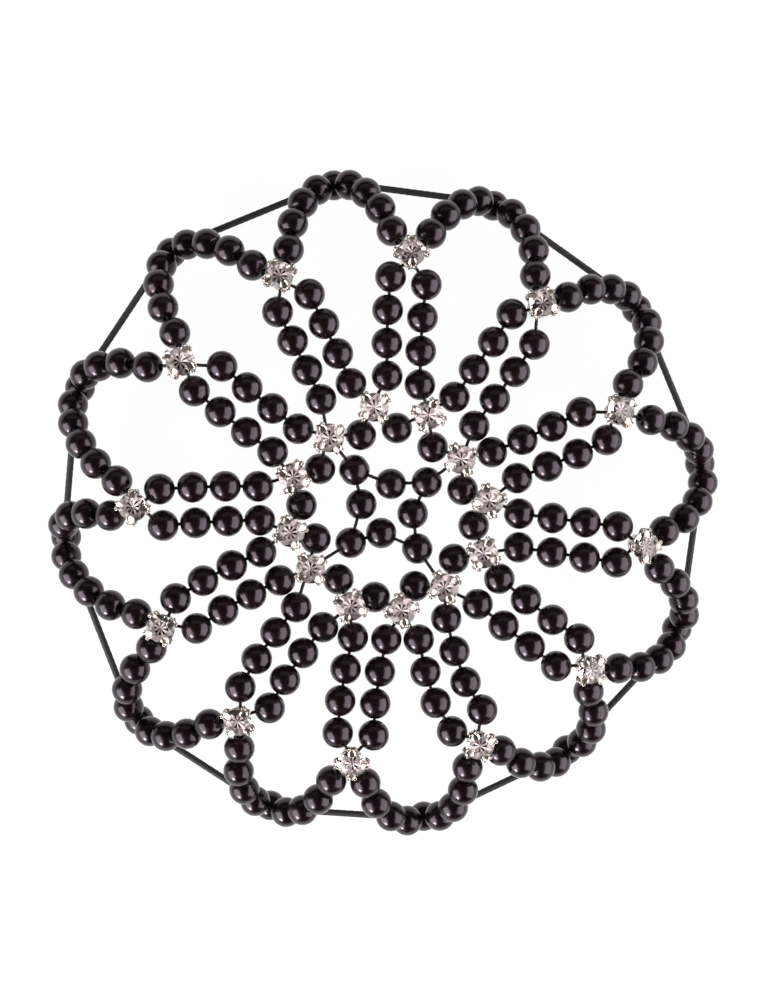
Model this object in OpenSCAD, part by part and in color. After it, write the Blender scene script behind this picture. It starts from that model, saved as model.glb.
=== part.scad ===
// Bun net: strung round beads and claw-set stones in twelve petals, drawn in by an elastic round the rim
// The origin is the middle of the elastic's ring, and the dome rises along +Z

/* [Beads and thread] */
// Diameter of a round bead
bead_d = 4; // [3.6:0.1:4]
// Diameter of the thread that the beads are strung on
thread_d = 0.5; // [0.3:0.1:0.6]

/* [Dome] */
// Radius at which the crown turns down towards the rim
crown_r = 27; // [26.5:0.1:27.5]
// Height of the crown above the elastic
crown_h = 14.8; // [14.5:0.1:15]
// Depth of the hollow in the middle of the crown
dip = 3; // [1:0.5:3.5]
// Mean radius of the rim
rim_r = 42.3; // [42:0.1:42.6]

/* [Elastic] */
// Diameter of the elastic
elastic_d = 0.9; // [0.7:0.1:1]
// Bore for the elastic in the bead at each petal's tip
tip_bore_d = 1.4; // [1.4:0.1:1.5]

/* [Settings and stones] */
// Diameter of a stone at its girdle
stone_d = 3.7; // [3.5:0.05:3.7]
// Height of a stone's girdle above the thread
girdle_z = 2; // [1.95:0.05:2.1]
// Width of a claw
claw_w = 1.1; // [0.8:0.1:1.2]
// Thickness of a claw
claw_t = 0.22; // [0.18:0.02:0.24]
// Reach of the claws from the middle of the stone
claw_reach = 2.35; // [2.3:0.05:2.4]

/* [Hidden] */
petals = 12;
round_fn = 48;

// Each ring is numbered clockwise from the top, and its even places are 30 degrees apart
outer_first = 84;
inner_first = 98;
ring_first = 83;
tip_first = 69;

// Rows of outer settings: degrees off the even place, radius, turn of the claws
outer_rows = [
    [0.9, 32.7, 0],
    [-0.2, 32.6, 59],
    [-0.1, 31.9, 30],
    [-1.2, 32.6, 0],
    [-1.6, 32.3, 47],
    [-2.4, 31.4, 28],
    [-2.4, 31.6, 0],
    [-0.1, 32.0, 57],
    [2.3, 31.7, 26],
    [4.0, 31.8, -5],
    [-0.5, 32.1, 65],
    [0.4, 32.6, 25],
];

// Rows of inner settings: degrees off the even place, radius, turn of the claws
inner_rows = [
    [-0.6, 14.1, 37],
    [-0.2, 14.0, -20],
    [-1.4, 12.0, 29],
    [-0.7, 13.4, 13],
    [-0.7, 13.6, -25],
    [-0.5, 12.2, 27],
    [0.1, 12.8, 10],
    [-0.1, 13.0, -24],
    [-2.9, 12.4, 36],
    [2.3, 13.0, 19],
    [0.4, 13.3, -20],
    [-0.7, 12.6, 37],
];

// Rows of ring beads: degrees off the even place, radius
ring_rows = [
    [0.3, 11.0],
    [2.1, 10.3],
    [-6.2, 10.2],
    [-1.2, 11.3],
    [2.5, 10.5],
    [-2.0, 10.1],
    [-1.1, 10.9],
    [0.7, 10.5],
    [-3.6, 9.7],
    [1.3, 11.0],
    [3.3, 10.3],
    [-4.7, 10.6],
];

// Rows of centre beads in their order on the thread: azimuth, radius, inner setting that it is tied to or 0
centre_rows = [
    [126.7, 6.9, 12],
    [81, 3.75, 0],
    [37, 6.5, 3],
    [-2.2, 3.4, 0],
    [-49.3, 6.1, 6],
    [-104, 2.7, 0],
    [-140.2, 6.0, 9],
    [161.2, 3.4, 0],
];

// Rows of spokes: degrees off the even place at the outer end and at the inner end, radius at the outer end and
// at the inner end, how much further out the counterclockwise row lies, bow in degrees
spoke_rows = [
    [0.9, -0.9, 29.9, 17.3, 0.6, 0.9],
    [-0.3, -1.1, 29.3, 16.5, 1.4, 0],
    [-1.1, -1.7, 28.8, 16.4, -1.7, -0.3],
    [-1.8, -1.5, 29.9, 17.2, -0.5, 0],
    [-1.7, -1.7, 29.4, 16.6, 0.2, -0.3],
    [-3.0, -2.6, 28.6, 16.1, -1.2, -2],
    [-2.3, -2.1, 28.6, 16.3, -0.3, -1],
    [0, -1.0, 29.0, 16.7, 0, -0.9],
    [2.0, 0, 28.7, 16.5, -0.7, -0.7],
    [4.0, 1.1, 28.9, 16.6, -0.6, 0],
    [-1.2, 0.1, 28.7, 16.2, 0.9, 0],
    [0, -1.3, 29.5, 17.1, -0.4, 0],
];

// Rows of petal tips: degrees off the even place, radius, drop below the elastic's middle
tip_rows = [
    [0.3, 42.6, 0.5],
    [-1.6, 43.1, 0.3],
    [-1.6, 43.2, 0],
    [-1.6, 43.2, 0],
    [-1.6, 41.5, 0.7],
    [-1.0, 42.1, 0.4],
    [0.8, 42.6, 0.4],
    [2.4, 42.8, 0.2],
    [-3.5, 42.0, 2.2],
    [-0.7, 42.8, 1.8],
    [0.4, 43.4, 0],
    [-0.8, 42.9, 0.5],
];

// Rows of a petal's arms: beads, degrees from the outer setting to the first bead, its radius, bow in degrees
first_arm_rows = [
    [4, 4, 36.2, 0],
    [4, 4, 36.2, 0],
    [4, 4.8, 36.2, -0.5],
    [4, 4.6, 36.2, 0],
    [4, 4, 35.1, 0],
    [4, 4, 34.6, 0],
    [4, 3.3, 35.3, 0.5],
    [4, 4, 35.4, 0],
    [5, 4.6, 34.5, -0.8],
    [5, 5.1, 34.7, -0.3],
    [4, 4, 35.5, 0],
    [4, 4, 35.9, 0],
];
second_arm_rows = [
    [4, 4, 35.9, 0],
    [4, 4, 35.2, 0],
    [4, 3.2, 36.1, 0],
    [4, 3.6, 36.4, 0],
    [4, 4, 34.2, 0.2],
    [4, 3.9, 35.0, 0],
    [4, 4, 35.7, 0],
    [4, 3.3, 34.7, -0.4],
    [4, 2.3, 35.3, -1.8],
    [4, 4.9, 35.8, 0],
    [4, 4, 36.0, 0],
    [4, 4, 36.1, 0],
];

// How much later than evenly an arm turns in to the tip, which rounds the petal
petal_round = 1.1;
// Beads in a row of a spoke, and how far a row lies from the spoke's middle at its outer and inner ends
row_beads = 4;
row_off_out = 2.3;
row_off_in = 2.15;

// Setting: base, cup and claws as radius and height from the thread's level, and gap to the stone
base_r = 1.25;
base_z = 0.6;
cup_r = 1.85;
cup_z = girdle_z - 0.2;
seat_gap = 0.12;
girdle_t = 0.15;
table_r = 1.05;
table_z = girdle_z + 0.65;
culet_r = 0.35;
culet_z = girdle_z - 0.85;

// How near a thread comes to the middle of the setting that it meets, and to that of a petal's tip bead
thread_stop = base_r + 0.12;
tip_stop = 1.2;

// Elastic: in a tip bead it bends at a radius over a length to each side, and it runs straight from tip to tip
elastic_sides = 8;
elastic_out = 0.12;
bend_r = 8.2;
bend = 2.1;
bend_rings = 5;

function numbered(name, k) = str(name, k < 10 ? "_0" : "_", k);
function row(table, k) = table[(k + petals - 1) % petals];
function place(first, k) = first - 360 / petals * (k - 1);
function mix(a, b, t) = a + (b - a) * t;
function polar(r, az, z) = [r * cos(az), r * sin(az), z];

// Height of the bead centres at a radius
function height(r) = r < crown_r
    ? crown_h - dip * (1 + cos(180 * r / crown_r)) / 2
    : crown_h * sqrt(max(0, 1 - pow((r - crown_r) / (rim_r - crown_r), 2)));
function on_dome(r, az) = polar(r, az, height(r));
function slope_out(r) = atan((height(r - 0.1) - height(r + 0.1)) / 0.2);

// Azimuth and place of each kind of piece
function outer_az(k) = place(outer_first, k) + row(outer_rows, k)[0];
function outer_at(k) = on_dome(row(outer_rows, k)[1], outer_az(k));
function inner_az(k) = place(inner_first, k) + row(inner_rows, k)[0];
function inner_at(k) = on_dome(row(inner_rows, k)[1], inner_az(k));
function ring_at(k) = on_dome(row(ring_rows, k)[1], place(ring_first, k) + row(ring_rows, k)[0]);
function centre_at(i) = on_dome(centre_rows[i % 8][1], centre_rows[i % 8][0]);

// Bead i of a spoke's row, from the outside in, where side is 1 for the counterclockwise row and -1 for the other
function spoke_bead(k, side, i) =
    let (
        s = row(spoke_rows, k),
        t = i / (row_beads - 1),
        r = mix(s[2], s[3], t) + side * s[4] / 2,
        middle = place(outer_first, k) + mix(s[0], s[1], t) + s[5] * sin(180 * t)
    )
    on_dome(r, middle + side * asin(mix(row_off_out, row_off_in, t) / r));
function spoke_row(k, side) = [for (i = [0:row_beads - 1]) spoke_bead(k, side, i)];

// Point of a petal: an arm falls on a quarter ellipse from the crown's edge to the tip
function tip_az(k) = place(tip_first, k) + row(tip_rows, k)[0];
function petal_point(k, az, fall) =
    let (reach = row(tip_rows, k)[1] - crown_r)
    polar(crown_r + reach * sin(fall), az, crown_h * cos(fall));
function tip_fall(k) = 90 + row(tip_rows, k)[2] / crown_h * 180 / PI;
function tip_at(k) = petal_point(k, tip_az(k), tip_fall(k));
// Beads of an arm from the top down, where side is -1 for the first arm and 1 for the second
function arm(k, side) =
    let (
        a = row(side < 0 ? first_arm_rows : second_arm_rows, k),
        top_az = (side < 0 ? outer_az(k) : outer_az(k + 1)) + side * a[1],
        top_fall = asin((a[2] - crown_r) / (row(tip_rows, k)[1] - crown_r))
    )
    [for (i = [0:a[0] - 1])
        let (t = i / a[0])
        petal_point(k, mix(top_az, tip_az(k), pow(t, petal_round)) + a[3] * sin(180 * t), mix(top_fall, tip_fall(k), t))];

// Point of the elastic in petal k's tip bead, at a distance along the bore from the bead's middle
function elastic_point(k, x) =
    let (az = tip_az(k), out = elastic_out - x * x / (2 * bend_r))
    tip_at(k) + [out * cos(az) - x * sin(az), out * sin(az) + x * cos(az), 0];

function short_of(a, b, gap) = b + (a - b) * gap / norm(a - b);

// A rod from one point to another
module rod(a, b, d) {
    v = b - a;
    translate(a) rotate([0, acos(v[2] / norm(v)), atan2(v[1], v[0])]) cylinder(d = d, h = norm(v), $fn = 16);
}

// A bead turned so that its thread leaves it on its equator
module bead(at, along) {
    y = along / norm(along);
    across = cross(y, [0, 0, 1]);
    x = across / norm(across);
    z = cross(x, y);
    multmatrix([
        [x[0], y[0], z[0], at[0]],
        [x[1], y[1], z[1], at[1]],
        [x[2], y[2], z[2], at[2]],
        [0, 0, 0, 1]
    ]) sphere(d = bead_d, $fn = round_fn);
}

// A thread along its route, with a bead on each of its points but the first and the last
module strung(route) {
    for (i = [1:len(route) - 2]) bead(route[i], route[i + 1] - route[i - 1]);
    for (i = [1:len(route) - 1]) rod(route[i - 1], route[i], thread_d);
}

// An arm's thread starts at an outer setting and ends in the petal's tip bead
module petal(k) color("#221c28") {
    tip = tip_at(k);
    for (side = [-1, 1]) {
        beads = arm(k, side);
        start = short_of(beads[0], outer_at(side < 0 ? k : k + 1), thread_stop);
        strung(concat([start], beads, [short_of(beads[len(beads) - 1], tip, tip_stop)]));
    }
    difference() {
        bead(tip, arm(k, 1)[3] - arm(k, -1)[3]);
        translate(tip) rotate([0, 0, tip_az(k)]) rotate([90, 0, 0])
            cylinder(d = tip_bore_d, h = bead_d + 1, center = true, $fn = 24);
    }
}

module spoke(k) color("#221c28") for (side = [1, -1]) {
    beads = spoke_row(k, side);
    start = short_of(beads[0], outer_at(k), thread_stop);
    end = short_of(beads[row_beads - 1], inner_at(side > 0 ? k : k + 1), thread_stop);
    strung(concat([start], beads, [end]));
}

module ring_beads() color("#221c28") for (k = [1:petals])
    strung([
        short_of(ring_at(k), inner_at(k), thread_stop),
        ring_at(k),
        short_of(ring_at(k), inner_at(k + 1), thread_stop)
    ]);

module centre_beads() color("#221c28") for (i = [0:7]) {
    at = centre_at(i);
    tied_to = centre_rows[i][2];
    bead(at, centre_at(i + 1) - centre_at(i + 7));
    rod(at, centre_at(i + 1), thread_d);
    if (tied_to > 0) rod(at, short_of(at, inner_at(tied_to), thread_stop), thread_d);
}

// Places what is drawn for a setting on the dome, square to it, with a claw at the azimuth turn
module seated(at, az, r, turn) translate(at) rotate([0, 0, az]) rotate([0, slope_out(r), 0])
    rotate([0, 0, turn - az]) children();

// Side view of a claw, which comes out from under the girdle and bends in over the stone
module claw_side() {
    low = base_z + 0.1;
    tip_z = table_z + 0.1;
    in_r = claw_reach - claw_t;
    polygon([
        [1.25, low],
        [claw_reach - 0.25, low + 0.35],
        [claw_reach, girdle_z - 0.15],
        [claw_reach, girdle_z + 0.2],
        [claw_reach - 0.22, tip_z - 0.2],
        [1.5, tip_z],
        [1.42, tip_z - claw_t],
        [in_r - 0.12, tip_z - claw_t - 0.17],
        [in_r, girdle_z + 0.15],
        [in_r, girdle_z - 0.08],
        [in_r - 0.18, low + 0.35 + claw_t],
        [1.25, low + claw_t + 0.1],
    ]);
}

module setting_form() {
    rotate_extrude($fn = round_fn) polygon([
        [0, -base_z],
        [base_r, -base_z],
        [base_r, base_z],
        [cup_r, cup_z],
        [culet_r + (cup_z - culet_z) * (stone_d / 2 - culet_r) / (girdle_z - culet_z) + seat_gap, cup_z],
        [culet_r + seat_gap, culet_z],
        [culet_r + seat_gap, culet_z - 0.08],
        [0, culet_z - 0.08],
    ]);
    for (i = [0:3]) rotate([0, 0, 90 * i]) rotate([90, 0, 0])
        linear_extrude(claw_w, center = true) claw_side();
}

module stone_form() rotate_extrude($fn = round_fn) polygon([
    [0, culet_z],
    [culet_r, culet_z],
    [stone_d / 2, girdle_z],
    [stone_d / 2, girdle_z + girdle_t],
    [table_r, table_z],
    [0, table_z],
]);

module outer_setting(k) color("#d9d2ce")
    seated(outer_at(k), outer_az(k), row(outer_rows, k)[1], row(outer_rows, k)[2]) setting_form();

module inner_setting(k) color("#d9d2ce")
    seated(inner_at(k), inner_az(k), row(inner_rows, k)[1], row(inner_rows, k)[2]) setting_form();

module outer_stones() color("#efe6e6") for (k = [1:petals])
    seated(outer_at(k), outer_az(k), row(outer_rows, k)[1], row(outer_rows, k)[2]) stone_form();

module inner_stones() color("#efe6e6") for (k = [1:petals])
    seated(inner_at(k), inner_az(k), row(inner_rows, k)[1], row(inner_rows, k)[2]) stone_form();

module elastic() {
    path = [for (k = [1:petals], i = [0:bend_rings - 1]) elastic_point(k, bend * (1 - 2 * i / (bend_rings - 1)))];
    rings = len(path);
    // Corner j of the section at ring i, square to the elastic
    function section(i) =
        let (
            along = path[(i + 1) % rings] - path[(i + rings - 1) % rings],
            across = [-along[1], along[0], 0] / norm([along[0], along[1]])
        )
        [for (j = [0:elastic_sides - 1])
            let (a = 360 * j / elastic_sides)
            path[i] + elastic_d / 2 * (cos(a) * across + [0, 0, sin(a)])];
    points = [for (i = [0:rings - 1]) each section(i)];
    function corner(i, j) = (i % rings) * elastic_sides + j % elastic_sides;
    color("#17141a") polyhedron(points, [
        for (i = [0:rings - 1], j = [0:elastic_sides - 1]) each [
            [corner(i, j), corner(i, j + 1), corner(i + 1, j + 1)],
            [corner(i, j), corner(i + 1, j + 1), corner(i + 1, j)],
        ]
    ]);
}

for (k = [1:petals]) {
    petal(k);
    spoke(k);
    outer_setting(k);
    inner_setting(k);
}
outer_stones();
inner_stones();
ring_beads();
centre_beads();
elastic();
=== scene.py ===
"""Bun net of round black beads with claw-set stones, built as a Blender add-on and run as a script."""

import math

import bmesh
import bpy
from bpy.props import FloatProperty, FloatVectorProperty, IntProperty, PointerProperty
from mathutils import Matrix, Vector


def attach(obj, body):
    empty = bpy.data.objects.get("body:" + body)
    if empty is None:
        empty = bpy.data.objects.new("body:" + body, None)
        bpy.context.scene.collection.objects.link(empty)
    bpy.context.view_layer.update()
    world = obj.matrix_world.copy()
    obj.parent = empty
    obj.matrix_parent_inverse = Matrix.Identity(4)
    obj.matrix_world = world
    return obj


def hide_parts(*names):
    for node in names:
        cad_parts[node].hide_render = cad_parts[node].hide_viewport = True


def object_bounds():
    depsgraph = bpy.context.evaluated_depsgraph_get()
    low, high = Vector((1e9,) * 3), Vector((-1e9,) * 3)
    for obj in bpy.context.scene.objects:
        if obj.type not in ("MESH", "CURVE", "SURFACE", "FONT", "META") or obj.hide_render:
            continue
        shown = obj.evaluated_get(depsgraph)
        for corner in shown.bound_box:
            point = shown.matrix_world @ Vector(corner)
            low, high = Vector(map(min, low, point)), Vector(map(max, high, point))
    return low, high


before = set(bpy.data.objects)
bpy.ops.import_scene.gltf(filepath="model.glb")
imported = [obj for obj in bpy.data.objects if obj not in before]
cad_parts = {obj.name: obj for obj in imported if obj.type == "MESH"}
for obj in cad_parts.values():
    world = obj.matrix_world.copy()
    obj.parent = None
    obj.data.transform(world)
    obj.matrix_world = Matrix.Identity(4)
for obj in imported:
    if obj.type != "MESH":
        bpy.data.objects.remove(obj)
CAD_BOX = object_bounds()

bl_info = {
    "name": "Bun Net",
    "version": (1, 0, 0),
    "blender": (4, 5, 0),
    "location": "View3D > Sidebar > Bun Net",
    "description": "Builds a beaded bun net with claw-set stones and an elastic rim",
    "category": "Object",
}

MM = 0.001
PETALS = 12

# Dome in millimetres: where its crown turns down, its height, the hollow in the middle, and the rim
CROWN_R = 27
CROWN_H = 14.8
DIP = 3
RIM_R = 42.3

# Azimuth of each ring's first piece. The pieces are numbered clockwise, and lie evenly before their offsets
OUTER_FIRST = 84
INNER_FIRST = 98
RING_FIRST = 83
TIP_FIRST = 69

# Outer settings: degrees off the even place, radius, turn of the claws
OUTER_ROWS = (
    (0.9, 32.7, 0), (-0.2, 32.6, 59), (-0.1, 31.9, 30), (-1.2, 32.6, 0),
    (-1.6, 32.3, 47), (-2.4, 31.4, 28), (-2.4, 31.6, 0), (-0.1, 32.0, 57),
    (2.3, 31.7, 26), (4.0, 31.8, -5), (-0.5, 32.1, 65), (0.4, 32.6, 25),
)
# Inner settings: degrees off the even place, radius, turn of the claws
INNER_ROWS = (
    (-0.6, 14.1, 37), (-0.2, 14.0, -20), (-1.4, 12.0, 29), (-0.7, 13.4, 13),
    (-0.7, 13.6, -25), (-0.5, 12.2, 27), (0.1, 12.8, 10), (-0.1, 13.0, -24),
    (-2.9, 12.4, 36), (2.3, 13.0, 19), (0.4, 13.3, -20), (-0.7, 12.6, 37),
)
# Ring beads: degrees off the even place, radius
RING_ROWS = (
    (0.3, 11.0), (2.1, 10.3), (-6.2, 10.2), (-1.2, 11.3), (2.5, 10.5), (-2.0, 10.1),
    (-1.1, 10.9), (0.7, 10.5), (-3.6, 9.7), (1.3, 11.0), (3.3, 10.3), (-4.7, 10.6),
)
# Centre beads along their thread: azimuth, radius, inner setting that the bead is tied to, or 0
CENTRE_ROWS = (
    (126.7, 6.9, 12), (81, 3.75, 0), (37, 6.5, 3), (-2.2, 3.4, 0),
    (-49.3, 6.1, 6), (-104, 2.7, 0), (-140.2, 6.0, 9), (161.2, 3.4, 0),
)
# Spokes: degrees off at the outer end and the inner end, radius at each end, how much further out the
# counterclockwise row lies, bow in degrees
SPOKE_ROWS = (
    (0.9, -0.9, 29.9, 17.3, 0.6, 0.9), (-0.3, -1.1, 29.3, 16.5, 1.4, 0),
    (-1.1, -1.7, 28.8, 16.4, -1.7, -0.3), (-1.8, -1.5, 29.9, 17.2, -0.5, 0),
    (-1.7, -1.7, 29.4, 16.6, 0.2, -0.3), (-3.0, -2.6, 28.6, 16.1, -1.2, -2),
    (-2.3, -2.1, 28.6, 16.3, -0.3, -1), (0, -1.0, 29.0, 16.7, 0, -0.9),
    (2.0, 0, 28.7, 16.5, -0.7, -0.7), (4.0, 1.1, 28.9, 16.6, -0.6, 0),
    (-1.2, 0.1, 28.7, 16.2, 0.9, 0), (0, -1.3, 29.5, 17.1, -0.4, 0),
)
# Petal tips: degrees off the even place, radius, drop below the elastic's middle
TIP_ROWS = (
    (0.3, 42.6, 0.5), (-1.6, 43.1, 0.3), (-1.6, 43.2, 0), (-1.6, 43.2, 0),
    (-1.6, 41.5, 0.7), (-1.0, 42.1, 0.4), (0.8, 42.6, 0.4), (2.4, 42.8, 0.2),
    (-3.5, 42.0, 2.2), (-0.7, 42.8, 1.8), (0.4, 43.4, 0), (-0.8, 42.9, 0.5),
)
# Arms of a petal: beads, degrees from the outer setting to the first bead, its radius, bow in degrees
FIRST_ARM_ROWS = (
    (4, 4, 36.2, 0), (4, 4, 36.2, 0), (4, 4.8, 36.2, -0.5), (4, 4.6, 36.2, 0),
    (4, 4, 35.1, 0), (4, 4, 34.6, 0), (4, 3.3, 35.3, 0.5), (4, 4, 35.4, 0),
    (5, 4.6, 34.5, -0.8), (5, 5.1, 34.7, -0.3), (4, 4, 35.5, 0), (4, 4, 35.9, 0),
)
SECOND_ARM_ROWS = (
    (4, 4, 35.9, 0), (4, 4, 35.2, 0), (4, 3.2, 36.1, 0), (4, 3.6, 36.4, 0),
    (4, 4, 34.2, 0.2), (4, 3.9, 35.0, 0), (4, 4, 35.7, 0), (4, 3.3, 34.7, -0.4),
    (4, 2.3, 35.3, -1.8), (4, 4.9, 35.8, 0), (4, 4, 36.0, 0), (4, 4, 36.1, 0),
)
# How much later than evenly an arm turns in to the tip
PETAL_ROUND = 1.1
# Beads in a row of a spoke, and how far a row lies from the spoke's middle at its outer and inner ends
ROW_BEADS = 4
ROW_OFF_OUT = 2.3
ROW_OFF_IN = 2.15

# Setting, from the thread's level up: base, cup, girdle of the stone, foot of its seat and point of the stone
BASE_R = 1.25
BASE_Z = 0.6
CUP_R = 1.85
GIRDLE_Z = 2.0
SEAT_Z = 1.15
CULET_Z = 1.48
# Stone: height of its girdle, radius and height of its table, and where the star facets and the low mains end
GIRDLE_HEIGHT = 0.13
TABLE_R = 1.05
TABLE_Z = GIRDLE_Z + 0.65
STAR_R = 1.42
LOW_R = 0.95
# Corners of the girdle, and of each ring of the foil
FACET_CORNERS = 16
FACET_ANGLE = 360 / FACET_CORNERS

# Elastic: in a tip bead it bends at a radius over a length to each side, and it runs straight from tip to tip
ELASTIC_OUT = 0.12
BEND_R = 8.2
BEND = 2.1
BEND_POINTS = 9
STRAIGHT_POINTS = 6

# What a point of a thread carries
BARE = 0
BEAD = 1
TIP_BEAD = 2


# Rules that place the pieces


def row(table, k):
    return table[(k - 1) % PETALS]


def place(first, k):
    return first - 360 / PETALS * (k - 1)


def mix(a, b, t):
    return a + (b - a) * t


def cosd(a):
    return math.cos(math.radians(a))


def sind(a):
    return math.sin(math.radians(a))


def polar(r, az, z):
    return Vector((r * cosd(az), r * sind(az), z))


def height(r):
    """Height of the bead centres at a radius."""
    if r < CROWN_R:
        return CROWN_H - DIP * (1 + cosd(180 * r / CROWN_R)) / 2
    return CROWN_H * math.sqrt(max(0, 1 - ((r - CROWN_R) / (RIM_R - CROWN_R)) ** 2))


def on_dome(r, az):
    return polar(r, az, height(r))


def slope_out(r):
    return math.degrees(math.atan((height(r - 0.1) - height(r + 0.1)) / 0.2))


def outer_az(k):
    return place(OUTER_FIRST, k) + row(OUTER_ROWS, k)[0]


def outer_at(k):
    return on_dome(row(OUTER_ROWS, k)[1], outer_az(k))


def inner_az(k):
    return place(INNER_FIRST, k) + row(INNER_ROWS, k)[0]


def inner_at(k):
    return on_dome(row(INNER_ROWS, k)[1], inner_az(k))


def ring_at(k):
    off, r = row(RING_ROWS, k)
    return on_dome(r, place(RING_FIRST, k) + off)


def centre_at(i):
    az, r, _ = CENTRE_ROWS[i % len(CENTRE_ROWS)]
    return on_dome(r, az)


def spoke_row(k, side):
    """Beads of a spoke's row from the outside in. Side 1 is the counterclockwise row and -1 the other."""
    off_out, off_in, r_out, r_in, stagger, bow = row(SPOKE_ROWS, k)
    beads = []
    for i in range(ROW_BEADS):
        t = i / (ROW_BEADS - 1)
        r = mix(r_out, r_in, t) + side * stagger / 2
        middle = place(OUTER_FIRST, k) + mix(off_out, off_in, t) + bow * sind(180 * t)
        off_middle = math.degrees(math.asin(mix(ROW_OFF_OUT, ROW_OFF_IN, t) / r))
        beads.append(on_dome(r, middle + side * off_middle))
    return beads


def tip_az(k):
    return place(TIP_FIRST, k) + row(TIP_ROWS, k)[0]


def petal_point(k, az, fall):
    """Point on the quarter ellipse from the crown's edge down to a petal's tip."""
    reach = row(TIP_ROWS, k)[1] - CROWN_R
    return polar(CROWN_R + reach * sind(fall), az, CROWN_H * cosd(fall))


def tip_fall(k):
    return 90 + math.degrees(row(TIP_ROWS, k)[2] / CROWN_H)


def tip_at(k):
    return petal_point(k, tip_az(k), tip_fall(k))


def arm(k, side):
    """Beads of a petal's arm from the top down, on side -1 for the first arm and 1 for the second."""
    beads, off, r, bow = row(FIRST_ARM_ROWS if side < 0 else SECOND_ARM_ROWS, k)
    top_az = (outer_az(k) if side < 0 else outer_az(k + 1)) + side * off
    top_fall = math.degrees(math.asin((r - CROWN_R) / (row(TIP_ROWS, k)[1] - CROWN_R)))
    points = []
    for i in range(beads):
        t = i / beads
        az = mix(top_az, tip_az(k), t ** PETAL_ROUND) + bow * sind(180 * t)
        points.append(petal_point(k, az, mix(top_fall, tip_fall(k), t)))
    return points


def elastic_point(k, x):
    """Point of the elastic in petal k's tip bead, at a distance along the bore from the bead's middle."""
    az = tip_az(k)
    outward = ELASTIC_OUT - x * x / (2 * BEND_R)
    return tip_at(k) + polar(outward, az, 0) + polar(x, az + 90, 0)


def short_of(a, b, gap):
    return b + (a - b).normalized() * gap


# Meshes


def piece_from(name, verts, faces, smooth=True):
    """Object with a closed mesh whose points are given in millimetres."""
    mesh = bpy.data.meshes.new(name)
    mesh.from_pydata([Vector(v) * MM for v in verts], [], faces)
    mesh.update()
    work = bmesh.new()
    work.from_mesh(mesh)
    bmesh.ops.recalc_face_normals(work, faces=work.faces)
    work.to_mesh(mesh)
    work.free()
    mesh.polygons.foreach_set("use_smooth", [smooth] * len(mesh.polygons))
    made = bpy.data.objects.new(name, mesh)
    bpy.context.scene.collection.objects.link(made)
    return made


def joined(parts):
    """Points and faces of several parts as one pair of lists."""
    verts = []
    faces = []
    for part_verts, part_faces in parts:
        start = len(verts)
        verts += part_verts
        faces += [tuple(start + i for i in face) for face in part_faces]
    return verts, faces


def turned_profile(profile, segments):
    """Closed profile of radius and height, turned about the Z axis. Points on the axis are shared."""
    rings = []
    verts = []
    for r, z in profile:
        if r < 1e-6:
            rings.append([len(verts)] * segments)
            verts.append((0, 0, z))
            continue
        rings.append(list(range(len(verts), len(verts) + segments)))
        verts += [(r * cosd(360 * i / segments), r * sind(360 * i / segments), z) for i in range(segments)]
    faces = []
    for j, low in enumerate(rings):
        high = rings[(j + 1) % len(rings)]
        for i in range(segments):
            n = (i + 1) % segments
            corners = [low[i], low[n], high[n], high[i]]
            face = [c for c_i, c in enumerate(corners) if c != corners[c_i - 1]]
            if len(set(face)) > 2:
                faces.append(tuple(face))
    return verts, faces


def swept(section, stations):
    """Closed section swept through stations, each of which turns a section point into its place."""
    verts = []
    faces = []
    count = len(section)
    for station in stations:
        verts += [station(a, b) for a, b in section]
    for s in range(len(stations) - 1):
        for i in range(count):
            n = (i + 1) % count
            faces.append((s * count + i, s * count + n, (s + 1) * count + n, (s + 1) * count + i))
    faces.append(tuple(range(count - 1, -1, -1)))
    faces.append(tuple(range((len(stations) - 1) * count, len(stations) * count)))
    return verts, faces


# Rim of a bead: its width, and its lip as distances out from the bore and down from the rim's edge
BEAD_RIM = 0.16
BEAD_LIP = ((0, 0.17), (0.02, 0.08), (0.08, 0.02))
# Faces from one rim of a bead to the other
BEAD_STEPS = 11


def bead_profile(radius, bore):
    """Half section of a drilled bead with a rounded rim at each end of its bore."""
    rim_angle = math.degrees(math.asin((bore + BEAD_RIM) / radius))
    edge_z = radius * cosd(rim_angle)
    outside = []
    for i in range(BEAD_STEPS + 1):
        a = mix(rim_angle, 180 - rim_angle, i / BEAD_STEPS)
        outside.append((radius * sind(a), radius * cosd(a)))
    top = [(bore + r, edge_z - drop) for r, drop in BEAD_LIP]
    bottom = [(r, -z) for r, z in reversed(top)]
    return [(bore, 0)] + top + outside + bottom


# Half section of a setting's base and cup as radius and height, up the outside and down into the seat
CUP_SECTION = (
    (0, -BASE_Z), (1.1, -BASE_Z), (1.21, -0.56), (BASE_R, -0.48),
    (BASE_R, 0.42), (1.29, 0.58), (1.38, 0.76), (1.74, 1.52),
    (CUP_R - 0.02, 1.66), (CUP_R, 1.74), (CUP_R - 0.03, 1.8), (1.72, 1.8),
    (1.617, 1.78), (0.47, SEAT_Z), (0.47, SEAT_Z - 0.08), (0, SEAT_Z - 0.08),
)
CUP_SIDES = 32
CLAWS = 4
# Middle line of a claw as radius and height, up from the cup and in over the stone, and its half width there.
# It is narrow between its two ears and broad over the stone
CLAW_LINE = (
    (1.34, 0.85, 0.44), (1.75, 1.03, 0.45), (2.06, 1.3, 0.45), (2.21, 1.6, 0.44),
    (2.26, 1.84, 0.38), (2.27, 2.02, 0.27), (2.22, 2.18, 0.22), (2.1, 2.3, 0.22),
    (1.97, 2.36, 0.27), (1.87, 2.39, 0.44), (1.78, 2.42, 0.54), (1.6, 2.48, 0.56),
    (1.42, 2.55, 0.54), (1.28, 2.6, 0.48), (1.19, 2.63, 0.38), (1.14, 2.64, 0.26),
)
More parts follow.
